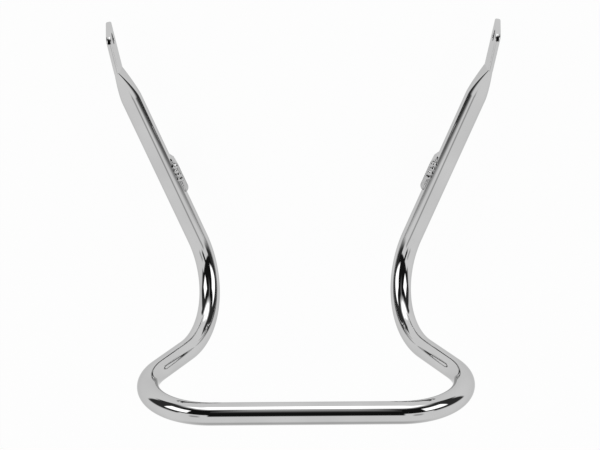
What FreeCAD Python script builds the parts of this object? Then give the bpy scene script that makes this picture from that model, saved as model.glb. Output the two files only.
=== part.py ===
"""Motorcycle grab rail: one bent steel tube with flattened, pierced ends, and a welded lug on each leg.

X runs across the machine, Y forward and Z up. The origin is midway between the two eye holes.
The legs lie in the level plane through the origin, and the hand loop stands square to that plane.
The right half is modelled, and the left half is its mirror image in the middle plane.
Both ends of the tube are pressed shut, so nothing reaches its bore, and it is modelled as one closed solid.
"""
import FreeCAD, Part
import Sketcher
import math
import os
from FreeCAD import Placement, Rotation, Vector

doc = FreeCAD.newDocument("grab_rail")

# Driving sizes, in millimetres and degrees
SIZES = (
    ("tube_od", 15.875, "outside diameter of the tube"),
    ("tube_wall", 2.0, "wall of the tube, two of which make the thickness of a flat"),
    ("bar_length", 130.2, "straight run of the hand bar"),
    ("corner_radius", 47.6, "centreline radius of the bends beside the hand bar"),
    ("stub_length", 38.8, "straight run between corner bend and waist bend"),
    ("stub_angle", 27.7, "lean of that run towards the middle"),
    ("waist_radius", 60.0, "centreline radius of the bends between hand loop and legs"),
    ("leg_length", 121.0, "straight round run of each leg"),
    ("leg_angle", 22.3, "angle of each leg to the middle plane"),
    ("shoulder_length", 23.0, "run over which the tube goes from round to flat"),
    ("eye_bend_radius", 5.0, "radius of the flat's bend back towards the middle plane"),
    ("eye_angle", 11.0, "angle of each flat to the middle plane"),
    ("eye_reach", 23.8, "flat run from its bend to the eye hole"),
    ("eye_hole", 8.3, "diameter of the eye hole"),
    ("eye_slant", 27.0, "slant of the flat's cut end, whose upper corner is cut back"),
    ("eye_margin", 6.3, "cut end from the middle of the eye hole"),
    ("eye_upper_round", 10.0, "radius of the cut end's upper corner"),
    ("eye_lower_round", 3.0, "radius of the cut end's lower corner"),
    ("lug_length", 28.7, "length of a lug along its leg"),
    ("lug_thickness", 3.2, "plate of a lug"),
    ("lug_seat", 0.6, "how deep the tube's inner flank is let into a lug"),
    ("lug_top", 3.44, "top edge of a lug below the top of the tube"),
    ("lug_drop", 15.06, "bottom edge of a lug below the underside of the tube"),
    ("lug_station", 52.85, "middle of a lug, from the waist end of the leg"),
    ("lug_lean", 12.5, "lean of a lug's foot outwards, about the axis of its leg"),
    ("lug_bevel", 6.2, "length of the bevel on a lug's forward end"),
    ("lug_round", 5.0, "radius on a lug's rear end"),
    ("lug_corner", 8.0, "radius of a lug's lower corners"),
    ("lug_hole", 6.8, "diameter of the lug hole"),
    ("lug_hole_drop", 7.06, "lug hole below the underside of the tube"),
    ("weld_length", 14.0, "length of the weld bead on a lug's top edge"),
    ("weld_shift", 2.3, "middle of the bead forward of the middle of its lug"),
    ("weld_radius", 2.8, "radius of each drop of the bead at its crest"),
    ("weld_ripple", 0.5, "how much a drop narrows to the next one"),
)
dims = doc.addObject("Spreadsheet::Sheet", "dims")
for row, (alias, value, meaning) in enumerate(SIZES, start=1):
    dims.set("A%d" % row, meaning)
    dims.set("B%d" % row, str(value))
    dims.setAlias("B%d" % row, alias)
doc.recompute()


def size(alias):
    return float(getattr(dims, alias))


def bind(thing, path, formula):
    thing.setExpression(path, formula)


def name_rule(sketch, label, rule):
    sketch.renameConstraint(sketch.addConstraint(rule), label)


# Centreline of the right half, followed as a tube bender feeds it, from the middle of the hand bar
UP = Vector(0, 0, 1)
stub_angle = math.radians(size("stub_angle"))
leg_angle = math.radians(size("leg_angle"))
eye_angle = math.radians(size("eye_angle"))
bar_dir = Vector(1, 0, 0)
stub_dir = Vector(-math.sin(stub_angle), 0, -math.cos(stub_angle))
leg_dir = Vector(math.sin(leg_angle), math.cos(leg_angle), 0)
eye_dir = Vector(math.sin(eye_angle), math.cos(eye_angle), 0)


def bend(start, before, after, radius):
    """Centre, middle and end of the arc that turns from one direction to the next."""
    turn = before.getAngle(after)
    inward = (after - before * before.dot(after)).normalize()
    centre = start + inward * radius
    middle = centre - inward * (radius * math.cos(turn / 2)) + before * (radius * math.sin(turn / 2))
    end = centre - inward * (radius * math.cos(turn)) + before * (radius * math.sin(turn))
    return centre, middle, end


route = {"bar_end": Vector(size("bar_length") / 2, 0, 0)}
corner = bend(route["bar_end"], bar_dir, stub_dir, size("corner_radius"))
route["corner_middle"], route["corner_end"] = corner[1:]
route["stub_end"] = route["corner_end"] + stub_dir * size("stub_length")
waist = bend(route["stub_end"], stub_dir, leg_dir, size("waist_radius"))
route["waist_middle"], route["waist_end"] = waist[1:]
route["leg_end"] = route["waist_end"] + leg_dir * size("leg_length")
route["shoulder_end"] = route["leg_end"] + leg_dir * size("shoulder_length")
eye_bend = bend(route["shoulder_end"], leg_dir, eye_dir, size("eye_bend_radius"))
route["eye_bend_centre"], route["flat_start"] = eye_bend[0], eye_bend[2]
route["eye"] = route["flat_start"] + eye_dir * size("eye_reach")
to_origin = Vector(0, -route["eye"].y, -route["eye"].z)
route = {name: point + to_origin for name, point in route.items()}
image = {name: Vector(-point.x, point.y, point.z) for name, point in route.items()}


def straight(start, end):
    return Part.LineSegment(start, end).toShape()


def curve(start, middle, end):
    return Part.Arc(start, middle, end).toShape()


centreline = doc.addObject("Part::Feature", "centreline")
centreline.Shape = Part.Wire([
    straight(route["leg_end"], route["waist_end"]),
    curve(route["waist_end"], route["waist_middle"], route["stub_end"]),
    straight(route["stub_end"], route["corner_end"]),
    curve(route["corner_end"], route["corner_middle"], route["bar_end"]),
    straight(route["bar_end"], image["bar_end"]),
    curve(image["bar_end"], image["corner_middle"], image["corner_end"]),
    straight(image["corner_end"], image["stub_end"]),
    curve(image["stub_end"], image["waist_middle"], image["waist_end"]),
    straight(image["waist_end"], image["leg_end"]),
])


def across(point, along):
    """Placement of a section: its x lies level, its y points up and its normal runs along the tube."""
    return Placement(point, Rotation(UP.cross(along), UP, along, "ZXY"))


def joined(name, pieces):
    whole = doc.addObject("Part::MultiFuse", name)
    whole.Shapes = pieces
    whole.Refine = True
    return whole


def cut(name, base, tool):
    rest = doc.addObject("Part::Cut", name)
    rest.Base = base
    rest.Tool = tool
    return rest


def mirrored(name, source):
    copy = doc.addObject("Part::Mirroring", name)
    copy.Source = source
    copy.Normal = Vector(1, 0, 0)
    return copy


# Round tube, swept along the whole centreline
ring = doc.addObject("Part::Circle", "ring")
bind(ring, "Radius", "dims.tube_od / 2")
ring.Placement = across(route["leg_end"], leg_dir)
round_run = doc.addObject("Part::Sweep", "round_run")
round_run.Sections = [ring]
round_run.Spine = (centreline, ["Edge%d" % n for n in range(1, len(centreline.Shape.Edges) + 1)])
round_run.Solid = True

# First section of a shoulder: the round tube, parted where the four sides of the flat begin
SIDE_HALF_ANGLE = 2
tube_radius = size("tube_od") / 2
tube_circle = Part.Circle(Vector(), UP, tube_radius)
partings = (-SIDE_HALF_ANGLE, SIDE_HALF_ANGLE, 180 - SIDE_HALF_ANGLE, 180 + SIDE_HALF_ANGLE)
marks = [math.radians(angle) for angle in partings]
marks.append(marks[0] + 2 * math.pi)
round_section = doc.addObject("Part::Feature", "round_section")
round_section.Shape = Part.Wire([
    Part.ArcOfCircle(tube_circle, start, end).toShape() for start, end in zip(marks, marks[1:])
])
round_section.Placement = across(route["leg_end"], leg_dir)


# Flattened sections keep the girth of the round tube, so they widen as they thin
def slot_section(name, point, along, flatness):
    sketch = doc.addObject("Sketcher::SketchObject", name)
    sketch.Placement = across(point, along)
    edge = size("tube_wall")
    run = size("tube_od") / 2
    upper_circle = Part.Circle(Vector(0, run, 0), UP, edge)
    lower_circle = Part.Circle(Vector(0, -run, 0), UP, edge)
    near = sketch.addGeometry(Part.LineSegment(Vector(edge, -run, 0), Vector(edge, run, 0)))
    upper = sketch.addGeometry(Part.ArcOfCircle(upper_circle, 0, math.pi))
    far = sketch.addGeometry(Part.LineSegment(Vector(-edge, run, 0), Vector(-edge, -run, 0)))
    lower = sketch.addGeometry(Part.ArcOfCircle(lower_circle, math.pi, 2 * math.pi))
    sketch.addConstraint([
        Sketcher.Constraint("Tangent", near, 2, upper, 1),
        Sketcher.Constraint("Tangent", upper, 2, far, 1),
        Sketcher.Constraint("Tangent", far, 2, lower, 1),
        Sketcher.Constraint("Tangent", lower, 2, near, 1),
        Sketcher.Constraint("Equal", upper, lower),
        Sketcher.Constraint("Vertical", near),
        Sketcher.Constraint("Symmetric", upper, 3, lower, 3, -1, 1),
    ])
    name_rule(sketch, "edge_radius", Sketcher.Constraint("Radius", upper, edge))
    name_rule(sketch, "spread", Sketcher.Constraint("DistanceY", lower, 3, upper, 3, 2 * run))
    thickness = "(dims.tube_od - (dims.tube_od - 2 * dims.tube_wall) * %r)" % flatness
    bind(sketch, "Constraints.edge_radius", "%s / 2" % thickness)
    bind(sketch, "Constraints.spread", "pi * (dims.tube_od - %s) / 2" % thickness)
    return sketch


# Shoulder from round to flat, eased into the round tube; a station is a share of the shoulder's length
SHOULDER_EASE = 1.4
SHOULDER_STATIONS = (0.12, 0.35, 0.62, 0.88, 1.0)
sections = [round_section]
for n, share in enumerate(SHOULDER_STATIONS, start=1):
    point = route["leg_end"] + leg_dir * (size("shoulder_length") * share)
    flatness = share ** SHOULDER_EASE
    sections.append(slot_section("shoulder_slot%d" % n, point, leg_dir, flatness))
shoulder = doc.addObject("Part::Loft", "shoulder")
shoulder.Sections = sections
shoulder.Solid = True

# Flat end, bent back towards the middle plane
FLAT_HALF_WIDTH = "(dims.tube_wall + pi * (dims.tube_od - 2 * dims.tube_wall) / 4)"
eye_bend_run = doc.addObject("Part::Revolution", "eye_bend_run")
eye_bend_run.Source = slot_section("eye_bend_slot", route["shoulder_end"], leg_dir, 1.0)
eye_bend_run.Solid = True
eye_bend_run.Base = route["eye_bend_centre"]
eye_bend_run.Axis = UP
bind(eye_bend_run, "Angle", "dims.leg_angle - dims.eye_angle")


def flat_run(name, point, length):
    run = doc.addObject("Part::Extrusion", name)
    run.Base = slot_section(name + "_slot", point, eye_dir, 1.0)
    run.DirMode = "Normal"
    run.Solid = True
    bind(run, "LengthFwd", length)
    return run


def eye_cylinder(name, radius):
    """Cylinder about the axis of the eye hole, twice as long as the flat is thick."""
    cylinder = doc.addObject("Part::Cylinder", name)
    bind(cylinder, "Radius", radius)
    bind(cylinder, "Height", "4 * dims.tube_wall")
    axis = UP.cross(eye_dir)
    cylinder.Placement = Placement(route["eye"] - axis * (2 * size("tube_wall")), Rotation(UP, axis))
    return cylinder


# Outline that the flat's end is cut to: a slant with two rounded corners, drawn in the plane of the flat.
# It lies a little outside the flat's long edges, so that only its end cuts.
EDGE_ROOM = 0.25
slant = math.radians(size("eye_slant"))
half_width = size("tube_wall") + math.pi * (size("tube_od") - 2 * size("tube_wall")) / 4 + EDGE_ROOM
upper_radius, lower_radius = size("eye_upper_round"), size("eye_lower_round")
upper_rise, lower_rise = half_width - upper_radius, lower_radius - half_width


def round_place(radius, rise):
    """How far along the flat the middle of a corner lies, so that its arc touches the slant."""
    return (size("eye_margin") - radius - rise * math.sin(slant)) / math.cos(slant)


outline = doc.addObject("Sketcher::SketchObject", "end_outline")
outline.Placement = Placement(route["eye"], Rotation(eye_dir, UP, eye_dir.cross(UP), "ZXY"))
upper_middle = Vector(round_place(upper_radius, upper_rise), upper_rise, 0)
lower_middle = Vector(round_place(lower_radius, lower_rise), lower_rise, 0)
outward = Vector(math.cos(slant), math.sin(slant), 0)
back = -size("eye_reach")
corners = (
    Vector(back, half_width, 0), Vector(back, -half_width, 0), Vector(lower_middle.x, -half_width, 0),
    lower_middle + outward * lower_radius, upper_middle + outward * upper_radius,
    Vector(upper_middle.x, half_width, 0),
)
rear_edge = outline.addGeometry(Part.LineSegment(corners[0], corners[1]))
lower_edge = outline.addGeometry(Part.LineSegment(corners[1], corners[2]))
lower_circle = Part.Circle(lower_middle, UP, lower_radius)
lower_corner = outline.addGeometry(Part.ArcOfCircle(lower_circle, -math.pi / 2, slant))
cut_edge = outline.addGeometry(Part.LineSegment(corners[3], corners[4]))
upper_circle = Part.Circle(upper_middle, UP, upper_radius)
upper_corner = outline.addGeometry(Part.ArcOfCircle(upper_circle, slant, math.pi / 2))
upper_edge = outline.addGeometry(Part.LineSegment(corners[5], corners[0]))
outline.addConstraint([
    Sketcher.Constraint("Coincident", rear_edge, 2, lower_edge, 1),
    Sketcher.Constraint("Tangent", lower_edge, 2, lower_corner, 1),
    Sketcher.Constraint("Tangent", lower_corner, 2, cut_edge, 1),
    Sketcher.Constraint("Tangent", cut_edge, 2, upper_corner, 1),
    Sketcher.Constraint("Tangent", upper_corner, 2, upper_edge, 1),
    Sketcher.Constraint("Coincident", upper_edge, 2, rear_edge, 1),
    Sketcher.Constraint("Symmetric", rear_edge, 1, rear_edge, 2, -1),
    Sketcher.Constraint("Horizontal", lower_edge),
    Sketcher.Constraint("Horizontal", upper_edge),
])
name_rule(outline, "width", Sketcher.Constraint("DistanceY", rear_edge, 2, rear_edge, 1, 2 * half_width))
name_rule(outline, "reach", Sketcher.Constraint("DistanceX", rear_edge, 1, -1, 1, -back))
name_rule(outline, "upper_round", Sketcher.Constraint("Radius", upper_corner, upper_radius))
name_rule(outline, "lower_round", Sketcher.Constraint("Radius", lower_corner, lower_radius))
name_rule(outline, "slant", Sketcher.Constraint("Angle", -2, 1, cut_edge, 1, slant))
name_rule(outline, "margin", Sketcher.Constraint("Distance", -1, 1, cut_edge, size("eye_margin")))
bind(outline, "Constraints.width", "2 * (%s + %r)" % (FLAT_HALF_WIDTH, EDGE_ROOM))
bind(outline, "Constraints.reach", "dims.eye_reach")
bind(outline, "Constraints.upper_round", "dims.eye_upper_round")
bind(outline, "Constraints.lower_round", "dims.eye_lower_round")
bind(outline, "Constraints.slant", "dims.eye_slant")
bind(outline, "Constraints.margin", "dims.eye_margin")
end_form = doc.addObject("Part::Extrusion", "end_form")
end_form.Base = outline
end_form.DirMode = "Normal"
end_form.Solid = True
end_form.Symmetric = True
bind(end_form, "LengthFwd", "4 * dims.tube_wall")
flat_end = doc.addObject("Part::Common", "flat_end")
flat_end.Base = flat_run("flat_blank", route["flat_start"], "dims.eye_reach + " + FLAT_HALF_WIDTH)
flat_end.Tool = end_form
end_blank = joined("end_blank", [shoulder, eye_bend_run, flat_end])
right_end = cut("right_end", end_blank, eye_cylinder("eye_hole_pin", "dims.eye_hole / 2"))
left_end = mirrored("left_end", right_end)

# The rail: bent round tube and both ends in one piece
rail_tube = joined("rail_tube", [round_run, right_end, left_end])


# Frame on the right leg: x runs forward along its axis, y towards the middle plane, z up
def leg_frame(forward):
    return Placement(route["waist_end"] + leg_dir * forward, Rotation(leg_dir, UP.cross(leg_dir), UP, "ZXY"))


def lug_frame(forward):
    """The leg's frame turned about the leg's axis by the lean of the lug."""
    return leg_frame(forward).multiply(Placement(Vector(), Rotation(Vector(1, 0, 0), -size("lug_lean"))))


def body_sketch(body, name, role):
    sketch = body.newObject("Sketcher::SketchObject", name)
    plane = [feature for feature in body.Origin.OriginFeatures if feature.Role == role][0]
    sketch.AttachmentSupport = [(plane, "")]
    sketch.MapMode = "FlatFace"
    return sketch


# Lug: a plate seated on the inner flank of the leg, with a bolt hole below the tube
right_lug = doc.addObject("PartDesign::Body", "right_lug")
right_lug.Placement = lug_frame(size("lug_station"))

# Its outline from above: bevelled forward end, rounded rear end
half = size("lug_length") / 2
outer = tube_radius - size("lug_seat")
inner = outer + size("lug_thickness")
front = half - size("lug_bevel")
turn = math.acos(1 - size("lug_thickness") / size("lug_round"))
rear = -half + size("lug_round") * math.sin(turn)
nose_circle = Part.Circle(Vector(rear, inner - size("lug_round"), 0), UP, size("lug_round"))
plan = body_sketch(right_lug, "lug_plan", "XY_Plane")
seat = plan.addGeometry(Part.LineSegment(Vector(-half, outer, 0), Vector(half, outer, 0)))
bevel = plan.addGeometry(Part.LineSegment(Vector(half, outer, 0), Vector(front, inner, 0)))
face = plan.addGeometry(Part.LineSegment(Vector(front, inner, 0), Vector(rear, inner, 0)))
nose = plan.addGeometry(Part.ArcOfCircle(nose_circle, math.pi / 2, math.pi / 2 + turn))
plan.addConstraint([
    Sketcher.Constraint("Coincident", seat, 2, bevel, 1),
    Sketcher.Constraint("Coincident", bevel, 2, face, 1),
    Sketcher.Constraint("Tangent", face, 2, nose, 1),
    Sketcher.Constraint("Coincident", nose, 2, seat, 1),
    Sketcher.Constraint("Horizontal", face),
    Sketcher.Constraint("Symmetric", seat, 1, seat, 2, -2),
])
name_rule(plan, "length", Sketcher.Constraint("DistanceX", seat, 1, seat, 2, 2 * half))
name_rule(plan, "bevel", Sketcher.Constraint("DistanceX", bevel, 2, bevel, 1, half - front))
name_rule(plan, "round", Sketcher.Constraint("Radius", nose, size("lug_round")))
name_rule(plan, "thickness", Sketcher.Constraint("DistanceY", seat, 1, face, 1, inner - outer))
name_rule(plan, "offset", Sketcher.Constraint("DistanceY", -1, 1, seat, 1, outer))
bind(plan, "Constraints.length", "dims.lug_length")
bind(plan, "Constraints.bevel", "dims.lug_bevel")
bind(plan, "Constraints.round", "dims.lug_round")
bind(plan, "Constraints.thickness", "dims.lug_thickness")
bind(plan, "Constraints.offset", "dims.tube_od / 2 - dims.lug_seat")
bind(plan, "AttachmentOffset.Base.z", "-(dims.tube_od / 2 + dims.lug_drop)")
plate = right_lug.newObject("PartDesign::Pad", "plate")
plate.Profile = plan
bind(plate, "Length", "dims.lug_drop + dims.tube_od - dims.lug_top")
doc.recompute()


def through_cut(name, sketch):
    """Pocket right through the lug, both ways from its sketch; it has to take material away."""
    before = right_lug.Shape.Volume
    pocket = right_lug.newObject("PartDesign::Pocket", name)
    pocket.Profile = sketch
    pocket.Type = "ThroughAll"
    pocket.SideType = "Symmetric"
    doc.recompute()
    if right_lug.Shape.Volume >= before:
        raise RuntimeError(name + " cuts nothing")


# The leg's round flank cut into its back, so that it seats on the tube
flank = body_sketch(right_lug, "flank", "YZ_Plane")
tube_outline = flank.addGeometry(tube_circle)
flank.addConstraint(Sketcher.Constraint("Coincident", tube_outline, 3, -1, 1))
name_rule(flank, "tube", Sketcher.Constraint("Diameter", tube_outline, 2 * tube_radius))
bind(flank, "Constraints.tube", "dims.tube_od")
through_cut("seat_cut", flank)

# Its bolt hole and rounded lower corners
trim = body_sketch(right_lug, "lug_trim", "XZ_Plane")
hole_drop = tube_radius + size("lug_hole_drop")
hole = trim.addGeometry(Part.Circle(Vector(0, -hole_drop, 0), UP, size("lug_hole") / 2))
trim.addConstraint(Sketcher.Constraint("PointOnObject", hole, 3, -2))
name_rule(trim, "hole", Sketcher.Constraint("Diameter", hole, size("lug_hole")))
name_rule(trim, "hole_drop", Sketcher.Constraint("DistanceY", hole, 3, -1, 1, hole_drop))
bind(trim, "Constraints.hole", "dims.lug_hole")
bind(trim, "Constraints.hole_drop", "dims.tube_od / 2 + dims.lug_hole_drop")


def corner_waste(name, way):
    """What a rounded lower corner leaves over; way is 1 at the forward corner and -1 at the rear one."""
    radius = size("lug_corner")
    x, y = way * half, -(tube_radius + size("lug_drop"))
    x_in, y_in = x - way * radius, y + radius
    circle = Part.Circle(Vector(x_in, y_in, 0), UP, radius)
    start, end = (1.5 * math.pi, 2 * math.pi) if way > 0 else (math.pi, 1.5 * math.pi)
    low, side = (1, 2) if way > 0 else (2, 1)
    bottom = trim.addGeometry(Part.LineSegment(Vector(x_in, y, 0), Vector(x, y, 0)))
    flank_edge = trim.addGeometry(Part.LineSegment(Vector(x, y, 0), Vector(x, y_in, 0)))
    arc = trim.addGeometry(Part.ArcOfCircle(circle, start, end))
    trim.addConstraint([
        Sketcher.Constraint("Coincident", bottom, 2, flank_edge, 1),
        Sketcher.Constraint("Tangent", flank_edge, 2, arc, side),
        Sketcher.Constraint("Tangent", arc, low, bottom, 1),
        Sketcher.Constraint("Horizontal", bottom),
        Sketcher.Constraint("Vertical", flank_edge),
    ])
    reach = [bottom, 2, -1, 1] if way < 0 else [-1, 1, bottom, 2]
    name_rule(trim, name + "_reach", Sketcher.Constraint("DistanceX", *reach, half))
    name_rule(trim, name + "_drop", Sketcher.Constraint("DistanceY", bottom, 2, -1, 1, -y))
    name_rule(trim, name + "_radius", Sketcher.Constraint("Radius", arc, radius))
    bind(trim, "Constraints.%s_reach" % name, "dims.lug_length / 2")
    bind(trim, "Constraints.%s_drop" % name, "dims.tube_od / 2 + dims.lug_drop")
    bind(trim, "Constraints.%s_radius" % name, "dims.lug_corner")


corner_waste("front", 1)
corner_waste("rear", -1)
through_cut("trim_cut", trim)
left_lug = mirrored("left_lug", right_lug)

# Weld bead: a row of drops, laid one on the next, in the groove between the lug's top edge and the tube
DROPS = 4
drops = []
for n in range(DROPS):
    drop = doc.addObject("Part::Cone", "drop%d" % (n + 1))
    bind(drop, "Radius1", "dims.weld_radius")
    bind(drop, "Radius2", "dims.weld_radius - dims.weld_ripple")
    bind(drop, "Height", "dims.weld_length / %d" % DROPS)
    forward = size("lug_station") + size("weld_shift") + size("weld_length") * (n / DROPS - 0.5)
    groove = lug_frame(forward).multVec(Vector(0, outer, tube_radius - size("lug_top")))
    drop.Placement = Placement(groove, Rotation(UP, leg_dir))
    drops.append(drop)
leg_core = doc.addObject("Part::Cylinder", "leg_core")
bind(leg_core, "Radius", "dims.tube_od / 2")
bind(leg_core, "Height", "dims.leg_length")
leg_core.Placement = across(route["waist_end"], leg_dir)
bead = joined("bead", drops)
right_weld = cut("right_weld", cut("bead_on_tube", bead, leg_core), right_lug)
left_weld = mirrored("left_weld", right_weld)
doc.recompute()

# Check, then write one file for each piece
pieces = (rail_tube, left_lug, right_lug, left_weld, right_weld)
failed = [thing.Name for thing in doc.Objects if {"Invalid", "Error"} & set(thing.State)]
for piece in pieces:
    shape = piece.Shape
    if shape.isNull() or not shape.isValid() or len(shape.Solids) != 1:
        failed.append(piece.Label)
if failed:
    raise RuntimeError("these failed: " + ", ".join(failed))
os.makedirs("parts", exist_ok=True)
for piece in pieces:
    piece.Shape.exportStep("parts/%s.step" % piece.Label)
    print(piece.Label, round(piece.Shape.Volume, 2), piece.Shape.BoundBox)
lug_hole_centre = right_lug.Placement.multVec(Vector(0, (inner + outer) / 2, -hole_drop))
print("right eye hole", route["eye"], "along", UP.cross(eye_dir))
print("right lug hole", lug_hole_centre, "along", right_lug.Placement.Rotation.multVec(Vector(0, 1, 0)))
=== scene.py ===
# %% [markdown]
# # A chrome-plated grab rail
# The real rail is one length of steel tube: a straight hand bar, two corner bends, two short stubs, two
# waist bends and two long legs. The ends of the legs are pressed flat and pierced, and a small lug plate is
# welded to each leg. It could be made from a curve with a round bevel, but then the pressed ends would be
# separate lumps, so the tube is pulled and bent from one ring of points, as a tube bender does it.
# The measured model is loaded first, and every length below is in metres in the same frame.

# %% Load the measured model
import math

import bmesh
import bpy
from mathutils import Matrix, Vector


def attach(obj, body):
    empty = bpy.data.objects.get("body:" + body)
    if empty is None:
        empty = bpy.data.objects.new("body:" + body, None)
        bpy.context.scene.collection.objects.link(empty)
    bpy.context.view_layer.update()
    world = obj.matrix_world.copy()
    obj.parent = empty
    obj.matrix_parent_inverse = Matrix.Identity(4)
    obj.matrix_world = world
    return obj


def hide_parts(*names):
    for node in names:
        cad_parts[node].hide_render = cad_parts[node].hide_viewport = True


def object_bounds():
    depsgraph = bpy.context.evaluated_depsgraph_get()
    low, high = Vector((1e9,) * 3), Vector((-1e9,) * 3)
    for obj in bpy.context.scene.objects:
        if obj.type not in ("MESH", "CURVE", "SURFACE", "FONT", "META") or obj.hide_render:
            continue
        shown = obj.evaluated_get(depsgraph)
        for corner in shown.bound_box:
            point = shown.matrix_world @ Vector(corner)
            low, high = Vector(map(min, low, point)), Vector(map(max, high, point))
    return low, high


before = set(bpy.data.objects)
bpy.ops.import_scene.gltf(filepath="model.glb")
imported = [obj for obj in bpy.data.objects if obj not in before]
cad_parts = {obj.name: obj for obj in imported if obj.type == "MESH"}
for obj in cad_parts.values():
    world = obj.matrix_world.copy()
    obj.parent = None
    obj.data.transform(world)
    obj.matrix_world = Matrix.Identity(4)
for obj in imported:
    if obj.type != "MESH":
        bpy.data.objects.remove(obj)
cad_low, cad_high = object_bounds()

MM = 0.001
UP = Vector((0, 0, 1))
RIGHT = Vector((1, 0, 0))


def in_mm(values):
    return [round(value / MM, 2) for value in values]


print("measured box", in_mm(cad_low), in_mm(cad_high), "mm")

# %% [markdown]
# ## The camera
# The photograph was taken with a long lens from above the hand bar, looking down along the legs. The place
# and the angles below were found by fitting the straight runs and bends of the tube to the picture. A long
# lens keeps the two legs nearly the same width from end to end, as the picture shows.

# %% Place the camera
CAMERA_PLACE = (-0.00007, 0.24973, 1.08926)
CAMERA_ANGLES = (-20.041, 0.012, -0.477)
CAMERA_LENS = 90.0
CAMERA_FILM_WIDTH = 36.0

bpy.ops.object.select_all(action="DESELECT")
bpy.ops.object.camera_add(
    location=CAMERA_PLACE,
    rotation=[math.radians(angle) for angle in CAMERA_ANGLES],
)
camera = bpy.context.object
camera.name = "photo_camera"
camera.data.lens = CAMERA_LENS
camera.data.sensor_width = CAMERA_FILM_WIDTH
bpy.context.scene.camera = camera
print("camera", CAMERA_PLACE, "lens", CAMERA_LENS)

# %% [markdown]
# ## The tube's route
# The tube runs through straight lengths and round bends. One half is enough, because the left half is the
# mirror image of the right one. The directions of the stub and of the leg come from two angles, and the
# waist bend turns the one into the other, so its axis stands square to both.

# %% Lengths and directions of the right half
TUBE_RADIUS = 7.9375 * MM
BAR_HALF = 65.1 * MM
BAR_MIDDLE = Vector((0, -223.881, 167.569)) * MM
CORNER_RADIUS = 47.6 * MM
CORNER_TURN = math.radians(117.7)
STUB_LENGTH = 38.8 * MM
STUB_ANGLE = math.radians(27.7)
WAIST_RADIUS = 60.0 * MM
LEG_LENGTH = 121.0 * MM
LEG_ANGLE = math.radians(22.3)

stub_way = Vector((-math.sin(STUB_ANGLE), 0, -math.cos(STUB_ANGLE)))
leg_way = Vector((math.sin(LEG_ANGLE), math.cos(LEG_ANGLE), 0))
waist_axis = stub_way.cross(leg_way).normalized()
waist_turn = stub_way.angle(leg_way)
corner_axis = Vector((0, 1, 0))
corner_centre = BAR_MIDDLE + Vector((BAR_HALF, 0, -CORNER_RADIUS))
print("waist bend", round(math.degrees(waist_turn), 1), "degrees")

# %% [markdown]
# ## One ring of points
# The tube starts as a circle at the middle of the hand bar. The bends roll the ring as they carry it along,
# and the flat ends later need a point exactly at the top and at the side of the ring. So the ring is turned
# at the start by the angle that the two bends will give it, the other way round.

# %% Start the tube with a circle
RING_POINTS = 128

corner_roll = Matrix.Rotation(CORNER_TURN, 3, corner_axis)
waist_roll = Matrix.Rotation(waist_turn, 3, waist_axis)
ring_top = (waist_roll @ corner_roll).transposed() @ UP
ring_side = RIGHT.cross(ring_top)

bpy.ops.object.select_all(action="DESELECT")
bpy.ops.mesh.primitive_circle_add(vertices=RING_POINTS, radius=TUBE_RADIUS, fill_type="NOTHING")
tube = bpy.context.object
tube.name = "bent_tube"
ring_place = Matrix((ring_top, ring_side, RIGHT)).transposed().to_4x4()
ring_place.translation = BAR_MIDDLE
tube.matrix_world = ring_place
bpy.ops.object.transform_apply(location=True, rotation=True, scale=True)
print("ring of", len(tube.data.vertices), "points")

# %% [markdown]
# ## The hand bar
# A straight length is an extrusion of the ring. It could be one long pull, but the soft shading of a bend
# would then run out along it, so it is pulled in a few steps. After each step the new ring stays selected,
# and the next step carries on from it.

# %% Pull the right half of the hand bar
BAR_STEPS = 8


def selected_points(mesh):
    return [point for point in mesh.verts if point.select]


def ring_centre():
    mesh = bmesh.from_edit_mesh(tube.data)
    points = selected_points(mesh)
    return sum((point.co for point in points), Vector()) / len(points)


def pull(way, length, steps):
    for _ in range(steps):
        bpy.ops.mesh.extrude_region_move(TRANSFORM_OT_translate={"value": way * (length / steps)})


bpy.ops.object.mode_set(mode="EDIT")
bpy.ops.mesh.select_mode(type="VERT")
bpy.ops.mesh.select_all(action="SELECT")
pull(RIGHT, BAR_HALF, BAR_STEPS)
print("bar ends at", in_mm(ring_centre()))

# %% [markdown]
# ## Corner, stub, waist and leg
# A bending machine draws the tube round a wheel. In Blender that is a spin of the ring about the wheel's
# centre. A curve could be bent too, but a spin keeps every ring square to the tube and at its full size.

# %% Bend and pull to the end of the leg
CORNER_STEPS = 60
STUB_STEPS = 6
WAIST_STEPS = 56
LEG_STEPS = 14


def bend(centre, axis, turn, steps):
    # The spin tool counts a turn clockwise about its axis, so the angle is given negative.
    bpy.ops.mesh.spin(steps=steps, angle=-turn, center=centre, axis=axis)


bend(corner_centre, corner_axis, CORNER_TURN, CORNER_STEPS)
print("corner ends at", in_mm(ring_centre()))
pull(stub_way, STUB_LENGTH, STUB_STEPS)
waist_centre = ring_centre() + WAIST_RADIUS * waist_axis.cross(stub_way)
bend(waist_centre, waist_axis, waist_turn, WAIST_STEPS)
waist_end = ring_centre()
print("waist ends at", in_mm(waist_end))
pull(leg_way, LEG_LENGTH, LEG_STEPS)
leg_end = ring_centre()
print("leg ends at", in_mm(leg_end))

# %% [markdown]
# ## The pressed section
# At the end of the leg the tube is squeezed in a press until it is a flat strip. Steel does not stretch in
# the press, so the way round the section stays the same length while the two sides come together: the round
# becomes a slot with straight sides. Scaling the ring would give an ellipse, so each point is instead put at
# its own share of the way round.

# %% Work out the pressed section
FLAT_HALF = 2.0 * MM
GIRTH = 2 * math.pi * TUBE_RADIUS


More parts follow.
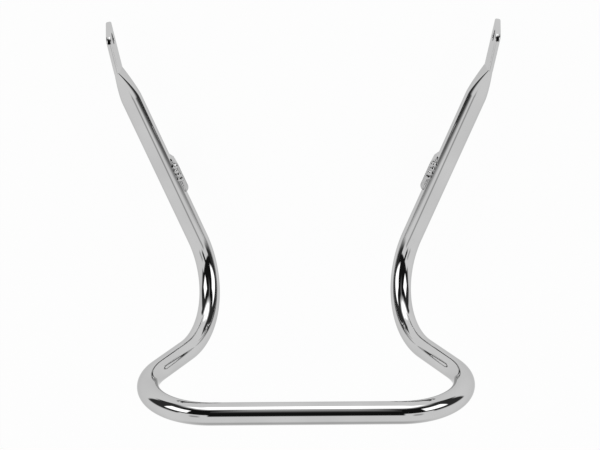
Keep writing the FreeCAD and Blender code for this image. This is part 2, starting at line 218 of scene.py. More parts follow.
def slot_place(share, half_thickness):
    """Sideways and upward place of a point at its share of the girth, counted from the top."""
    straight = math.pi / 2 * (TUBE_RADIUS - half_thickness)
    quarter = math.pi / 2 * half_thickness
    along = share * GIRTH
    if along < quarter:
        angle = along / half_thickness
        return half_thickness * math.sin(angle), straight + half_thickness * math.cos(angle)
    along -= quarter
    if along < 2 * straight:
        return half_thickness, straight - along
    along -= 2 * straight
    if along < 2 * quarter:
        angle = along / half_thickness
        return half_thickness * math.cos(angle), -straight - half_thickness * math.sin(angle)
    along -= 2 * quarter
    if along < 2 * straight:
        return -half_thickness, along - straight
    angle = (along - 2 * straight) / half_thickness
    return -half_thickness * math.cos(angle), straight + half_thickness * math.sin(angle)


half_pressed = (TUBE_RADIUS + FLAT_HALF) / 2
half_pressed_height = slot_place(0.0, half_pressed)[1]
print("half pressed, the section is", in_mm((2 * half_pressed, 2 * half_pressed_height)), "mm")

# %% [markdown]
# ## The shoulder
# Between the round leg and the flat lies a short shoulder, where the press closes the tube bit by bit. It is
# pulled ring by ring, and the points of each new ring go to their places on the section. Their shares of the
# way round are kept on the points, and every new ring takes them over.

# %% Press the leg flat
SHOULDER_LENGTH = 23.0 * MM
SHOULDER_EASE = 1.4
SHOULDER_STEPS = 30
leg_inward = UP.cross(leg_way)

mesh = bmesh.from_edit_mesh(tube.data)
share_layer = mesh.verts.layers.float.new("girth_share")
for point in selected_points(mesh):
    offset = point.co - leg_end
    angle = math.atan2(offset.dot(leg_inward), offset.dot(UP))
    place_in_ring = round(angle / (2 * math.pi) * RING_POINTS) % RING_POINTS
    point[share_layer] = place_in_ring / RING_POINTS

for step in range(1, SHOULDER_STEPS + 1):
    pull(leg_way, SHOULDER_LENGTH / SHOULDER_STEPS, 1)
    centre = leg_end + leg_way * (SHOULDER_LENGTH * step / SHOULDER_STEPS)
    mesh = bmesh.from_edit_mesh(tube.data)
    share_layer = mesh.verts.layers.float["girth_share"]
    pressed = (step / SHOULDER_STEPS) ** SHOULDER_EASE
    half_thickness = TUBE_RADIUS + (FLAT_HALF - TUBE_RADIUS) * pressed
    for point in selected_points(mesh):
        sideways, upward = slot_place(point[share_layer], half_thickness)
        point.co = centre + leg_inward * sideways + UP * upward
    bmesh.update_edit_mesh(tube.data)
shoulder_end = ring_centre()
mesh = bmesh.from_edit_mesh(tube.data)
flat_height = max(point.co.z for point in selected_points(mesh)) - shoulder_end.z
print("flat is", in_mm((2 * flat_height, 2 * FLAT_HALF)), "mm")

# %% [markdown]
# ## The eye
# Past the shoulder the flat strip is bent a little towards the middle and runs on past the bolt hole. It is
# one long pull, closed with a face. The narrow strips of each side are dissolved into one, because a flat
# needs no more.

# %% Bend the flat and pull it past the eye
EYE_BEND_RADIUS = 5.0 * MM
EYE_BEND_STEPS = 8
EYE_ANGLE = math.radians(11.0)
EYE_REACH = 23.8 * MM
SPARE_LENGTH = 16.0 * MM
PAST_BEND = 1.0 * MM
DEAD_FLAT = 0.9999

eye_way = Vector((math.sin(EYE_ANGLE), math.cos(EYE_ANGLE), 0))
eye_inward = UP.cross(eye_way)
bend(shoulder_end + leg_inward * EYE_BEND_RADIUS, UP, LEG_ANGLE - EYE_ANGLE, EYE_BEND_STEPS)
flat_start = ring_centre()
eye = flat_start + eye_way * EYE_REACH
pull(eye_way, EYE_REACH + SPARE_LENGTH, 1)
bpy.ops.mesh.edge_face_add()
bpy.ops.mesh.select_mode(type="FACE")
mesh = bmesh.from_edit_mesh(tube.data)
for face in mesh.faces:
    beyond = (face.calc_center_median() - flat_start).dot(eye_way) > PAST_BEND
    face.select_set(beyond and abs(face.normal.dot(eye_inward)) > DEAD_FLAT)
bmesh.update_edit_mesh(tube.data)
bpy.ops.mesh.dissolve_faces()
bpy.ops.object.mode_set(mode="OBJECT")
tube.data.attributes.remove(tube.data.attributes["girth_share"])
print("eye at", in_mm(eye))

# %% [markdown]
# ## The left half
# A Mirror modifier makes the left half, and merging welds the two at the middle of the hand bar. A mirror can
# leave faces inside out, so the doubles are merged and the normals turned outwards afterwards.

# %% Mirror the tube
SEAM_REACH = 0.01 * MM
DOUBLES_REACH = 0.002 * MM


def finish_modifier(piece, modifier):
    bpy.context.view_layer.objects.active = piece
    bpy.ops.object.modifier_apply(modifier=modifier.name)


def turn_faces_out(piece):
    bpy.ops.object.select_all(action="DESELECT")
    piece.select_set(True)
    bpy.context.view_layer.objects.active = piece
    bpy.ops.object.mode_set(mode="EDIT")
    bpy.ops.mesh.select_all(action="SELECT")
    bpy.ops.mesh.remove_doubles(threshold=DOUBLES_REACH)
    bpy.ops.mesh.normals_make_consistent(inside=False)
    bpy.ops.object.mode_set(mode="OBJECT")


mirror = tube.modifiers.new("other_half", "MIRROR")
mirror.use_axis = (True, False, False)
mirror.merge_threshold = SEAM_REACH
finish_modifier(tube, mirror)
turn_faces_out(tube)
print("tube has", len(tube.data.polygons), "faces")

# %% [markdown]
# ## The outline of the end
# The end of the flat is cropped in a press at a slant, with its upper corner taken well back and its lower
# corner only just rounded. The outline could be drawn as a curve. Here it is a list of straight cuts, one
# along the slant and for each corner a fan of cuts that touch one circle, because the same list then serves
# both ends.

# %% Set out the cuts of the end
EYE_SLANT = math.radians(27.0)
EYE_MARGIN = 6.3 * MM
UPPER_ROUND = 10.0 * MM
UPPER_LAST_ANGLE = math.radians(80.0)
LOWER_ROUND = 3.0 * MM
LOWER_LAST_ANGLE = math.radians(-69.0)
ROUND_END_CUTS = 14
EDGE_ROOM = 0.25 * MM
slot_half = flat_height + EDGE_ROOM
end_rounds = (
    (UPPER_ROUND, slot_half - UPPER_ROUND, UPPER_LAST_ANGLE),
    (LOWER_ROUND, LOWER_ROUND - slot_half, LOWER_LAST_ANGLE),
)


def end_cuts(place, way):
    """The straight cuts of the end's outline, as points and outward directions."""
    slant = way * math.cos(EYE_SLANT) + UP * math.sin(EYE_SLANT)
    cuts = [(place + slant * EYE_MARGIN, slant)]
    for radius, rise, last_angle in end_rounds:
        along = (EYE_MARGIN - radius - rise * math.sin(EYE_SLANT)) / math.cos(EYE_SLANT)
        middle = place + way * along + UP * rise
        for number in range(1, ROUND_END_CUTS + 1):
            angle = EYE_SLANT + (last_angle - EYE_SLANT) * number / ROUND_END_CUTS
            outward = way * math.cos(angle) + UP * math.sin(angle)
            cuts.append((middle + outward * radius, outward))
    return cuts


print("outline of", len(end_cuts(eye, eye_way)), "cuts")

# %% [markdown]
# ## The slots of the die
# The die that crops an end is a block with a slot of that outline. The slot starts as a plane that takes the
# cuts. It is then given a depth just over the strip's, and its rims are rounded, because a plated edge is
# never sharp. A bevel on the finished tube would overlap itself where the cut runs out along the strip's
# round edge, so the die carries the rounding.

# %% Make a slot for each end
DIE_FRONT = 20.0 * MM
SLOT_REAR = -14.0 * MM
SLOT_DEPTH = 2 * FLAT_HALF + 0.04 * MM
SLOT_SOFTNESS = 1.1 * MM
SOFT_STEPS = 5
FACES_ACROSS = 0.5
CUT_EXACTNESS = 0.001 * MM


def mirrored(place):
    return Vector((-place.x, place.y, place.z))


def stretch(piece, length, height, depth, middle):
    """Puts a unit shape to its size and place, along three directions with lengths."""
    place = Matrix((length, height, depth)).transposed().to_4x4()
    place.translation = middle
    piece.matrix_world = place
    bpy.ops.object.transform_apply(location=True, rotation=True, scale=True)


def cut_off(place, outward, close):
    """Cuts off what lies beyond a plane, and closes the cut if asked."""
    bpy.ops.mesh.select_all(action="SELECT")
    bpy.ops.mesh.bisect(
        plane_co=place, plane_no=outward, use_fill=close, clear_outer=True, threshold=CUT_EXACTNESS,
    )


def thicken(piece, depth):
    """Gives a flat outline its depth, and leaves edit mode."""
    bpy.ops.mesh.select_all(action="SELECT")
    bpy.ops.mesh.extrude_region_move(TRANSFORM_OT_translate={"value": depth})
    bpy.ops.object.mode_set(mode="OBJECT")
    turn_faces_out(piece)


def soften_rims(piece, across, width):
    """Rounds the rims of a plate's two faces, which lie square to across."""
    bpy.ops.object.mode_set(mode="EDIT")
    bpy.ops.mesh.select_mode(type="FACE")
    mesh = bmesh.from_edit_mesh(piece.data)
    for face in mesh.faces:
        face.select_set(abs(face.normal.dot(across)) > FACES_ACROSS)
    bmesh.update_edit_mesh(piece.data)
    bpy.ops.mesh.region_to_loop()
    bpy.ops.mesh.bevel(offset=width, segments=SOFT_STEPS, affect="EDGES")
    bpy.ops.object.mode_set(mode="OBJECT")


slots = []
for place, way in ((eye, eye_way), (mirrored(eye), mirrored(eye_way))):
    across = way.cross(UP)
    bpy.ops.object.select_all(action="DESELECT")
    bpy.ops.mesh.primitive_plane_add(size=1.0)
    slot = bpy.context.object
    slot_middle = place + way * ((DIE_FRONT + SLOT_REAR) / 2) - across * (SLOT_DEPTH / 2)
    stretch(slot, way * (DIE_FRONT - SLOT_REAR), UP * (2 * slot_half), across, slot_middle)
    bpy.ops.object.mode_set(mode="EDIT")
    for cut_place, outward in end_cuts(place, way):
        cut_off(cut_place, outward, close=False)
    thicken(slot, across * SLOT_DEPTH)
    soften_rims(slot, across, SLOT_SOFTNESS)
    slots.append((place, way, slot))
    print("slot has", len(slot.data.polygons), "faces")

# %% [markdown]
# ## Cropping
# Each slot is taken out of a block, and the block then takes the waste off the tube. Cutting the tube with
# bisect planes one by one would need a fill after every cut. A Boolean modifier does it in one go, and its
# exact solver leaves the mesh closed.

# %% Crop the ends with the die
BLOCK_REAR = -10.0 * MM
BLOCK_DEPTH = 8.0 * MM
BLOCK_ROOM = 3.0 * MM
block_height = UP * (2 * (slot_half + BLOCK_ROOM))


def cut_away(piece, cutter):
    cut = piece.modifiers.new("cut", "BOOLEAN")
    cut.operation = "DIFFERENCE"
    cut.solver = "EXACT"
    cut.object = cutter
    finish_modifier(piece, cut)
    bpy.data.objects.remove(cutter)


for place, way, slot in slots:
    bpy.ops.object.select_all(action="DESELECT")
    bpy.ops.mesh.primitive_cube_add(size=1.0)
    block = bpy.context.object
    block_length = way * (DIE_FRONT - BLOCK_REAR)
    block_depth = way.cross(UP) * BLOCK_DEPTH
    block_middle = place + way * ((DIE_FRONT + BLOCK_REAR) / 2)
    stretch(block, block_length, block_height, block_depth, block_middle)
    cut_away(block, slot)
    cut_away(tube, block)
end_reach = max((point.co - eye).dot(eye_way) for point in tube.data.vertices)
print("end reaches", round(end_reach / MM, 2), "mm past the eye")

# %% [markdown]
# ## Bolt holes with soft rims
# Each eye is pierced. A plain cylinder would leave a knife edge, and plating always rounds an edge off, so
# the cutter is a spool that flares out where it leaves the plate. The boolean then makes the hole and its
# rounded rim in one cut.

# %% Pierce the eyes
EYE_HOLE_RADIUS = 4.15 * MM
HOLE_POINTS = 96
RIM = 0.45 * MM
# How far past the plate's face and how much wider than the hole the spool is, in rims.
RIM_PROFILE = ((-1.0, 0.0), (-0.55, 0.1), (-0.2, 0.4), (0.0, 0.8), (2.0, 5.0))


def spool_cutter(centre, axis, radius, half_thickness):
    """A cutter along axis that flares at both faces of the plate."""
    side = [(half_thickness + RIM * past, radius + RIM * wider) for past, wider in RIM_PROFILE]
    profile = [(-along, wide) for along, wide in reversed(side)] + side
    start, start_radius = profile[0]
    bpy.ops.object.select_all(action="DESELECT")
    bpy.ops.mesh.primitive_circle_add(
        vertices=HOLE_POINTS, radius=start_radius, fill_type="NGON", location=centre + axis * start,
        rotation=axis.to_track_quat("Z", "Y").to_euler(),
    )
    cutter = bpy.context.object
    bpy.ops.object.transform_apply(location=True, rotation=True, scale=True)
    bpy.ops.object.mode_set(mode="EDIT")
    bpy.ops.mesh.select_all(action="SELECT")
    for (along, wide), (next_along, next_wide) in zip(profile, profile[1:]):
        step = axis * (next_along - along)
        bpy.ops.mesh.extrude_region_move(TRANSFORM_OT_translate={"value": step})
        grow = next_wide / wide
        bpy.ops.transform.resize(value=(grow, grow, grow), center_override=centre + axis * next_along)
    bpy.ops.object.mode_set(mode="OBJECT")
    turn_faces_out(cutter)
    return cutter


for place, axis in ((eye, eye_inward), (mirrored(eye), mirrored(eye_inward))):
    cut_away(tube, spool_cutter(place, axis, EYE_HOLE_RADIUS, FLAT_HALF))
turn_faces_out(tube)
print("tube with eyes has", len(tube.data.polygons), "faces")

# %% [markdown]
# ## Smooth shading
# Chrome shows every facet, so the tube is shaded smooth, except at real edges. A Weighted Normal modifier
# lets the large flat faces decide the shading at their rims, so that the flats stay flat to the very edge.

# %% Smooth the tube and let it stand for the measured one
REAL_EDGE_ANGLE = math.radians(40.0)


def smooth(piece):
    bpy.ops.object.select_all(action="DESELECT")
    piece.select_set(True)
    bpy.context.view_layer.objects.active = piece
    bpy.ops.object.shade_smooth_by_angle(angle=REAL_EDGE_ANGLE)
    weigh = piece.modifiers.new("weigh", "WEIGHTED_NORMAL")
    weigh.mode = "FACE_AREA"
    weigh.keep_sharp = True
    finish_modifier(piece, weigh)


smooth(tube)
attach(tube, "root")
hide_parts("rail_tube")
print("tube is", in_mm(tube.dimensions), "mm")

# %% [markdown]
# ## The place of the lug
# A pressed steel plate stands on the inner flank of each leg, with a bolt hole below the tube. It leans with
# the flank, so its places are easiest to give in its own directions: along the leg, inward from the leg's
# centre line, and up the plate. A turned object would do the same, but the finished piece has to stay
# unturned.

# %% Set out the right lug
LUG_STATION = 52.85 * MM
LUG_LEAN = math.radians(12.5)
LUG_LENGTH = 28.7 * MM
LUG_THICKNESS = 3.2 * MM
LUG_BACK = TUBE_RADIUS - 0.6 * MM
LUG_FACE = LUG_BACK + LUG_THICKNESS
LUG_TOP = TUBE_RADIUS - 3.44 * MM
LUG_BOTTOM = -TUBE_RADIUS - 15.06 * MM
lug_middle = waist_end + leg_way * LUG_STATION
lug_inward = leg_inward * math.cos(LUG_LEAN) - UP * math.sin(LUG_LEAN)
lug_up = UP * math.cos(LUG_LEAN) + leg_inward * math.sin(LUG_LEAN)


def lug_point(along, inward, height):
    return lug_middle + leg_way * along + lug_inward * inward + lug_up * height


lug_centre = lug_point(0, LUG_BACK, (LUG_TOP + LUG_BOTTOM) / 2)
print("back of the lug is centred at", in_mm(lug_centre))

# %% [markdown]
# ## The lug plate
# The plate has rounded lower corners and, like everything plated, soft rims. It could be a bevelled cube, but
# on a plane each corner is a single point and easy to select. So it starts as an upright plane, whose two
# lower corners are bevelled, and it is thickened after that.

# %% Shape the right lug
LUG_CORNER = 8.0 * MM
LUG_CORNER_STEPS = 12
LUG_SOFTNESS = 0.4 * MM

bpy.ops.object.select_all(action="DESELECT")
bpy.ops.mesh.primitive_plane_add(size=1.0)
lug = bpy.context.object
lug.name = "right_lug_plate"
stretch(lug, leg_way * LUG_LENGTH, lug_up * (LUG_TOP - LUG_BOTTOM), -lug_inward, lug_centre)
bpy.ops.object.mode_set(mode="EDIT")
bpy.ops.mesh.select_mode(type="VERT")
mesh = bmesh.from_edit_mesh(lug.data)
for point in mesh.verts:
    point.select_set(point.co.z < -TUBE_RADIUS)
mesh.select_flush_mode()
bmesh.update_edit_mesh(lug.data)
bpy.ops.mesh.bevel(offset=LUG_CORNER, segments=LUG_CORNER_STEPS, affect="VERTICES")
thicken(lug, lug_inward * LUG_THICKNESS)
soften_rims(lug, lug_inward, LUG_SOFTNESS)
print("lug outline has", len(lug.data.polygons), "faces")

# %% [markdown]
# ## The ends of the lug
# The forward end of the plate is ground off towards the tube and its rear end is rounded, so that nothing
# catches on it. Both are made with bisect cuts that are closed at once: one cut for the slope, and a fan of
# cuts that touch one circle for the round.

# %% Trim the ends of the lug
LUG_BEVEL = 6.2 * MM
LUG_ROUND = 5.0 * MM
LUG_ROUND_CUTS = 12

bpy.ops.object.mode_set(mode="EDIT")
slope_outward = leg_way * LUG_THICKNESS + lug_inward * LUG_BEVEL
cut_off(lug_point(LUG_LENGTH / 2, LUG_BACK, 0), slope_outward.normalized(), close=True)
round_turn = math.acos(1 - LUG_THICKNESS / LUG_ROUND)
round_along = -LUG_LENGTH / 2 + LUG_ROUND * math.sin(round_turn)
round_centre = lug_point(round_along, LUG_FACE - LUG_ROUND, 0)
for number in range(LUG_ROUND_CUTS):
    angle = round_turn * (number + 0.5) / LUG_ROUND_CUTS
    outward = lug_inward * math.cos(angle) - leg_way * math.sin(angle)
    cut_off(round_centre + outward * LUG_ROUND, outward, close=True)
bpy.ops.object.mode_set(mode="OBJECT")
turn_faces_out(lug)
print("trimmed lug has", len(lug.data.polygons), "faces")

# %% [markdown]
# ## The seat and the hole of the lug
# The plate is cut to the round of the leg, so that it sits tight against the tube, and pierced in the same
# way as the eyes. It could be sunk into the tube instead, but then its mesh would hide inside the other one.

# %% Seat and pierce the lug
LUG_HOLE_RADIUS = 3.4 * MM
LUG_HOLE_HEIGHT = -TUBE_RADIUS - 7.06 * MM

leg_turn = leg_way.to_track_quat("Z", "Y").to_euler()
bpy.ops.object.select_all(action="DESELECT")
bpy.ops.mesh.primitive_cylinder_add(
    vertices=RING_POINTS, radius=TUBE_RADIUS, depth=2 * LUG_LENGTH, location=lug_middle, rotation=leg_turn,
)
leg_cutter = bpy.context.object
bpy.ops.object.transform_apply(location=True, rotation=True, scale=True)
cut_away(lug, leg_cutter)
hole_place = lug_point(0, (LUG_BACK + LUG_FACE) / 2, LUG_HOLE_HEIGHT)
cut_away(lug, spool_cutter(hole_place, lug_inward, LUG_HOLE_RADIUS, LUG_THICKNESS / 2))
turn_faces_out(lug)
smooth(lug)
print("hole of the lug at", in_mm(hole_place))

# %% [markdown]
# ## The left lug
# The left plate is the mirror image of the right one. A live Mirror modifier would join the two into one
# piece, so it is a copy with a mesh of its own, scaled by minus one across the rail. That turns the mesh
# inside out, so its faces are turned outwards again.

# %% Mirror the lug and let both stand for the measured ones


def mirror_copy(piece, name):
    copy = piece.copy()
    copy.data = piece.data.copy()
    copy.name = name
    bpy.context.scene.collection.objects.link(copy)
    bpy.ops.object.select_all(action="DESELECT")
    copy.select_set(True)
    bpy.context.view_layer.objects.active = copy
    copy.scale = (-1, 1, 1)
    bpy.ops.object.transform_apply(location=True, rotation=True, scale=True)
    turn_faces_out(copy)
    smooth(copy)
    return copy


left_lug = mirror_copy(lug, "left_lug_plate")
for piece, node in ((lug, "right_lug"), (left_lug, "left_lug")):
    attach(piece, "root")
    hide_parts(node)
    print(piece.name, "has", len(piece.data.polygons), "faces")

# %% [markdown]
# ## The weld bead
# A short bead of weld holds the plate's top edge to the tube. A flat plate against a round tube leaves a
# narrow groove, so a thin root run fills that first. The bead over it is laid as a row of drops that overlap
# like coins, each a little to one side. It could be a bumpy tube, but drops give the ripples of a real bead,
# so it starts as a row of flattened spheres.

# %% Lay the root run and the drops
ROOT_RADIUS = 0.8 * MM
ROOT_POINTS = 24
ROOT_LENGTH = LUG_LENGTH - 2.5 * MM
ROOT_SHIFT = -0.25 * MM
ROOT_SINK = 0.4 * MM
WELD_LENGTH = 14.0 * MM
WELD_SHIFT = 2.3 * MM
WELD_RADIUS = 2.8 * MM
WELD_DROPS = 4
DROP_ENDS = 1.2 * WELD_RADIUS
DROP_SHARE = 0.94
DROP_CHANGE = 0.05
DROP_CHANGE_TURN = 1.7
DROP_SHAPE = (1.0, 0.9, 1.0)
DROP_SEGMENTS = 32
DROP_RINGS = 16
WANDER = 0.25 * MM
WANDER_TURN = 2.4

bpy.ops.object.select_all(action="DESELECT")
bpy.ops.mesh.primitive_cylinder_add(
    vertices=ROOT_POINTS, radius=ROOT_RADIUS, depth=ROOT_LENGTH, rotation=leg_turn,
    location=lug_point(ROOT_SHIFT, LUG_BACK - ROOT_SINK, LUG_TOP - ROOT_SINK),
)
weld = bpy.context.object
weld.name = "right_weld_bead"
drop_turn = Matrix((-lug_inward, leg_way, lug_up)).transposed().to_euler()
drop_step = (WELD_LENGTH - DROP_ENDS) / (WELD_DROPS - 1)
drops = [weld]
for number in range(WELD_DROPS):
    along = WELD_SHIFT + drop_step * (number - (WELD_DROPS - 1) / 2)
    aside = WANDER * math.sin(WANDER_TURN * number)
    share = DROP_SHARE + DROP_CHANGE * math.cos(DROP_CHANGE_TURN * number)
    bpy.ops.mesh.primitive_uv_sphere_add(
        segments=DROP_SEGMENTS, ring_count=DROP_RINGS, radius=WELD_RADIUS * share, scale=DROP_SHAPE,
        location=lug_point(along, LUG_BACK + aside, LUG_TOP), rotation=drop_turn,
    )
    drops.append(bpy.context.object)
print("root run and", WELD_DROPS, "drops", round(drop_step / MM, 2), "mm apart")

# %% [markdown]
# ## One skin of weld
# Molten drops run together. Joined spheres would still cross inside, so a voxel remesh fuses them into one
# closed skin, and a Smooth modifier melts the creases. The left bead is a mirrored copy.

# %% Fuse the weld and let both beads stand for the measured ones
FUSE_GRAIN = 0.22 * MM
MELT_SHARE = 0.5
MELT_ROUNDS = 2

bpy.ops.object.select_all(action="DESELECT")
for drop in drops:
    drop.select_set(True)
bpy.context.view_layer.objects.active = weld
bpy.ops.object.join()
bpy.ops.object.transform_apply(location=True, rotation=True, scale=True)
fuse = weld.modifiers.new("fuse", "REMESH")
fuse.mode = "VOXEL"
fuse.voxel_size = FUSE_GRAIN
finish_modifier(weld, fuse)
melt = weld.modifiers.new("melt", "SMOOTH")
melt.factor = MELT_SHARE
melt.iterations = MELT_ROUNDS
finish_modifier(weld, melt)
smooth(weld)
left_weld = mirror_copy(weld, "left_weld_bead")
for piece, node in ((weld, "right_weld"), (left_weld, "left_weld")):
    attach(piece, "root")
    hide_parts(node)
    print(piece.name, "has", len(piece.data.polygons), "faces")

# %% [markdown]
# ## Chrome
# Chrome is a metal that sends back a little over half of the light, at nearly the same share for every
# colour, so its colour is a middle grey and all the rest is reflection. A flat grey with no roughness would
# be too perfect a mirror. Real plating has patches of haze from polishing, and the steel under it waves a
# little where it was bent. Slow noise drives the haze and a faint bump, so that reflections wander slightly
# along the tube.

# %% Mix a polished chrome for the tube
EDGE_TINT = 0.75
HAZE_DETAIL = 4.0
HAZE_START = 0.3
HAZE_END = 0.7
WAVE_DETAIL = 1.0
WAVE_STRENGTH = 1.0


def grey(level):
    return (level, level, level, 1.0)


def add_node(tree, kind, **values):
    node = tree.nodes.new(kind)
    for name, value in values.items():
        setattr(node, name, value)
    return node


def add_noise(tree, place, scale, detail):
    noise = add_node(tree, "ShaderNodeTexNoise")
    noise.inputs["Scale"].default_value = scale
    noise.inputs["Detail"].default_value = detail
    tree.links.new(place.outputs["Object"], noise.inputs["Vector"])
    return noise.outputs["Fac"]


def chrome(name, dark, light, polish, haze, haze_scale, wave_depth, wave_scale):
    """Chrome whose colour and polish drift between two values over the surface."""
    material = bpy.data.materials.new(name)
    material.use_nodes = True
    tree = material.node_tree
    shader = tree.nodes["Principled BSDF"]
    shader.inputs["Metallic"].default_value = 1.0
    shader.inputs["Specular Tint"].default_value = grey(EDGE_TINT)
    place = add_node(tree, "ShaderNodeTexCoord")
    drift = add_noise(tree, place, haze_scale, HAZE_DETAIL)
    colour = add_node(tree, "ShaderNodeValToRGB")
    low_end, high_end = colour.color_ramp.elements
    low_end.position = HAZE_START
    low_end.color = grey(dark)
    high_end.position = HAZE_END
    high_end.color = grey(light)
    tree.links.new(drift, colour.inputs["Fac"])
    tree.links.new(colour.outputs["Color"], shader.inputs["Base Color"])
    rough = add_node(tree, "ShaderNodeMapRange")
    rough.inputs["From Min"].default_value = HAZE_START
    rough.inputs["From Max"].default_value = HAZE_END
    rough.inputs["To Min"].default_value = polish
    rough.inputs["To Max"].default_value = haze
    tree.links.new(drift, rough.inputs["Value"])
    tree.links.new(rough.outputs["Result"], shader.inputs["Roughness"])
    bump = add_node(tree, "ShaderNodeBump")
    bump.inputs["Strength"].default_value = WAVE_STRENGTH
    bump.inputs["Distance"].default_value = wave_depth
    tree.links.new(add_noise(tree, place, wave_scale, WAVE_DETAIL), bump.inputs["Height"])
    tree.links.new(bump.outputs["Normal"], shader.inputs["Normal"])
    return material


def coat(piece, material):
    piece.data.materials.clear()
    piece.data.materials.append(material)


tube_chrome = chrome(
    "tube_chrome", dark=0.53, light=0.57, polish=0.02, haze=0.05,
    haze_scale=35.0, wave_depth=0.06 * MM, wave_scale=28.0,
)
coat(tube, tube_chrome)
print("tube is coated with", tube_chrome.name)

# %% [markdown]
# ## Satin and speckled chrome
# The lug is plated without being polished first, so its chrome is satin: the same mixture with more haze,
# in smaller patches. The weld is lumpy and breaks its reflections into specks. Modelling each lump would
# take far too many faces, so a deeper and finer bump does that.

# %% Coat the lugs and the welds
lug_chrome = chrome(
    "lug_chrome", dark=0.50, light=0.55, polish=0.20, haze=0.30,
    haze_scale=120.0, wave_depth=0.03 * MM, wave_scale=160.0,
)
weld_chrome = chrome(
    "weld_chrome", dark=0.47, light=0.54, polish=0.03, haze=0.08,
    haze_scale=260.0, wave_depth=0.8 * MM, wave_scale=320.0,
)
for piece, material in (
    (lug, lug_chrome), (left_lug, lug_chrome), (weld, weld_chrome), (left_weld, weld_chrome),
):
    coat(piece, material)
    print(piece.name, "is coated with", material.name)

# %% [markdown]
# ## White paper
# The rail was photographed on white paper. Paper lit from all sides shows a little grey in a render, and more
# light would wash out the chrome. So the paper shows as white through the Light Path node, and keeps a part
# of its own shading, so that the rail's shadow stays on it.

# %% Make the white paper
PAPER_GREY = 0.9
FLOOR_WHITE = 0.95

paper = bpy.data.materials.new("white_paper")
paper.use_nodes = True
paper_tree = paper.node_tree
paper_tree.nodes.remove(paper_tree.nodes["Principled BSDF"])
matt = add_node(paper_tree, "ShaderNodeBsdfDiffuse")
matt.inputs["Color"].default_value = grey(PAPER_GREY)
glow = add_node(paper_tree, "ShaderNodeEmission")
seen = add_node(paper_tree, "ShaderNodeLightPath")
camera_or_metal = add_node(paper_tree, "ShaderNodeMath", operation="ADD", use_clamp=True)
paper_tree.links.new(seen.outputs["Is Camera Ray"], camera_or_metal.inputs[0])
paper_tree.links.new(seen.outputs["Is Glossy Ray"], camera_or_metal.inputs[1])
or_glass = add_node(paper_tree, "ShaderNodeMath", operation="ADD", use_clamp=True)
paper_tree.links.new(camera_or_metal.outputs["Value"], or_glass.inputs[0])
paper_tree.links.new(seen.outputs["Is Transmission Ray"], or_glass.inputs[1])
white_share = add_node(paper_tree, "ShaderNodeMath", operation="MULTIPLY")
white_share.inputs[1].default_value = FLOOR_WHITE
paper_tree.links.new(or_glass.outputs["Value"], white_share.inputs[0])
blend = add_node(paper_tree, "ShaderNodeMixShader")
paper_tree.links.new(white_share.outputs["Value"], blend.inputs["Fac"])
paper_tree.links.new(matt.outputs["BSDF"], blend.inputs[1])
paper_tree.links.new(glow.outputs["Emission"], blend.inputs[2])
paper_tree.links.new(blend.outputs["Shader"], paper_tree.nodes["Material Output"].inputs["Surface"])
print("paper with", len(paper_tree.nodes), "nodes")

# %% [markdown]
# ## The floor
# A plain white sheet lies close under the rail. In the photograph the paper is far off, and the flanks of the
# legs mirror the dark room past it. So the sheet is hidden from the chrome, which mirrors the studio's own
# white paper instead.

# %% Lay the floor
FLOOR_SIZE = 12.0
FLOOR_MIDDLE = (0, -0.1, cad_low.z)

bpy.ops.object.select_all(action="DESELECT")
bpy.ops.mesh.primitive_plane_add(size=FLOOR_SIZE, location=FLOOR_MIDDLE)
floor = bpy.context.object
floor.name = "white_floor"
bpy.ops.object.transform_apply(location=True, rotation=True, scale=True)
coat(floor, paper)
floor.visible_glossy = False
print("floor at", round(cad_low.z / MM, 2), "mm")

# %% [markdown]
# ## Directions in the studio
# Chrome is only as good as what it mirrors. The rail was photographed standing on its hand bar, so in this
# frame the studio's ceiling lies towards +Y and the photographer towards +Z. Lamps could light the rail, but
# what shows in the chrome is the whole room, so the room is drawn in the world. Its nodes first turn each
# direction into two angles: how far above the horizon, and how far around from the photographer.

# %% Measure directions in the studio


def tree_math(tree, operation, first, second=None):
    node = add_node(tree, "ShaderNodeMath", operation=operation)
    for number, value in enumerate((first, second)):
        if value is None:
            continue
        if isinstance(value, (int, float)):
            node.inputs[number].default_value = value
        else:
            tree.links.new(value, node.inputs[number])
    return node.outputs["Value"]


studio = bpy.data.worlds.new("studio")
bpy.context.scene.world = studio
studio.use_nodes = True
sky = studio.node_tree
direction = add_node(sky, "ShaderNodeTexCoord")
axes = add_node(sky, "ShaderNodeSeparateXYZ")
sky.links.new(direction.outputs["Generated"], axes.inputs["Vector"])
above = tree_math(sky, "DEGREES", tree_math(sky, "ARCSINE", axes.outputs["Y"]))
turn = tree_math(sky, "DEGREES", tree_math(sky, "ARCTAN2", axes.outputs["X"], axes.outputs["Z"]))
around = tree_math(sky, "ABSOLUTE", turn)
print("angles take", len(sky.nodes), "nodes")

# %% [markdown]
# ## The studio
# All round the rail is white paper, a little shaded below. The dark room behind the camera and beside it
# gives the black bands, with the stands of the camera and of a lamp in front of it. The ceiling light and a
# window on each side give the white ones. Each is a patch with soft edges between two angles, sideways and
# upward, and a later patch covers an earlier one.

# %% Hang the patches of the studio
PAPER_LEVEL = 1.0
EVERY_SIDE = (-400, 400)
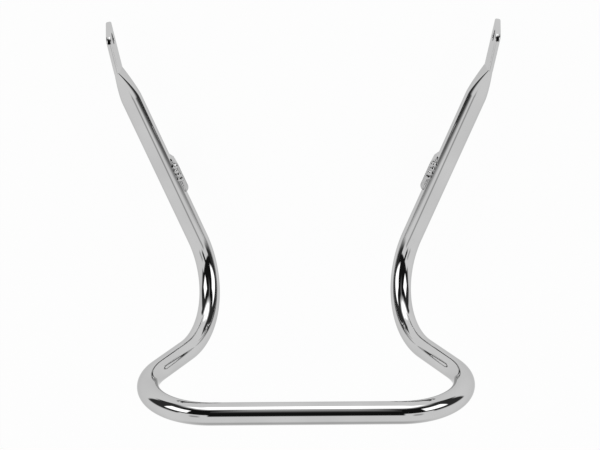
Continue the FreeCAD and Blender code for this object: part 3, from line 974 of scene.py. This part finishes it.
# Each patch has its sides, its heights, its softness sideways, below and above, and its brightness. All
# angles are in degrees, and 400 lies past every direction, so a patch has no edge there.
STUDIO = (
    ("shaded paper below", EVERY_SIDE, (-400, -72), (1, 1, 14), 0.62),
    ("light stand beside the camera", (20, 33), (-12, 3), (3, 3, 2), 0.5),
    ("dark room at the sides", (50, 107), (6.3, 63), (3, 4.3, 7), 0.04),
    ("dark room above the sides", (50, 115), (40, 61), (2, 5, 5), 0.04),
    ("dark room behind the camera", (-400, 62), (13.5, 64), (3, 1.2, 6), 0.01),
    ("camera stand", (-400, 8), (-1.5, 20), (2, 4.5, 3), 0.01),
    ("dim ceiling behind the camera", (-400, 5), (50, 90), (1.5, 18, 1), 0.6),
    ("window", (39, 77), (22, 45), (1.5, 2, 2), 2.2),
    ("ceiling light in front", (-400, 100), (70, 400), (10, 4, 1), 2.3),
    ("ceiling light at the back", (100, 400), (81, 400), (10, 3, 1), 2.3),
)


def soft_step(tree, value, middle, soft):
    node = add_node(tree, "ShaderNodeMapRange", interpolation_type="SMOOTHSTEP")
    node.inputs["From Min"].default_value = middle - soft
    node.inputs["From Max"].default_value = middle + soft
    tree.links.new(value, node.inputs["Value"])
    return node.outputs["Result"]


def patch(tree, sides, heights, soft):
    """1 inside a patch of the studio and 0 outside it."""
    soft_side, soft_below, soft_above = soft
    near = soft_step(tree, around, sides[0], soft_side)
    far = soft_step(tree, around, sides[1], soft_side)
    low = soft_step(tree, above, heights[0], soft_below)
    high = soft_step(tree, above, heights[1], soft_above)
    sideways = tree_math(tree, "SUBTRACT", near, far)
    upward = tree_math(tree, "SUBTRACT", low, high)
    return tree_math(tree, "MULTIPLY", sideways, upward)


def shade(tree, level, inside, value):
    """Brings the level to value where inside is 1."""
    gap = tree_math(tree, "SUBTRACT", value, level)
    return tree_math(tree, "ADD", level, tree_math(tree, "MULTIPLY", gap, inside))


level = tree_math(sky, "ADD", PAPER_LEVEL, 0.0)
for name, sides, heights, soft, brightness in STUDIO:
    level = shade(sky, level, patch(sky, sides, heights, soft), brightness)
    print(name, brightness)

# %% [markdown]
# ## The backdrop
# The picture shows nothing of the room itself, only white. A white wall behind the rail would hide the room
# from the chrome, so the world shows the studio to the chrome and plain white to the camera.

# %% Light the rail with the studio
WHITE = grey(1.0)

background = sky.nodes["Background"]
background.inputs["Color"].default_value = WHITE
sky.links.new(level, background.inputs["Strength"])
backdrop = add_node(sky, "ShaderNodeBackground")
backdrop.inputs["Color"].default_value = WHITE
seen = add_node(sky, "ShaderNodeLightPath")
choose = add_node(sky, "ShaderNodeMixShader")
sky.links.new(seen.outputs["Is Camera Ray"], choose.inputs["Fac"])
sky.links.new(background.outputs["Background"], choose.inputs[1])
sky.links.new(backdrop.outputs["Background"], choose.inputs[2])
sky.links.new(choose.outputs["Shader"], sky.nodes["World Output"].inputs["Surface"])
print("studio with", len(sky.nodes), "nodes")

# %% [markdown]
# ## Colours
# Colours are shown as they are written, with the plain Standard view.

# %% Set the view
bpy.context.scene.view_settings.view_transform = "Standard"
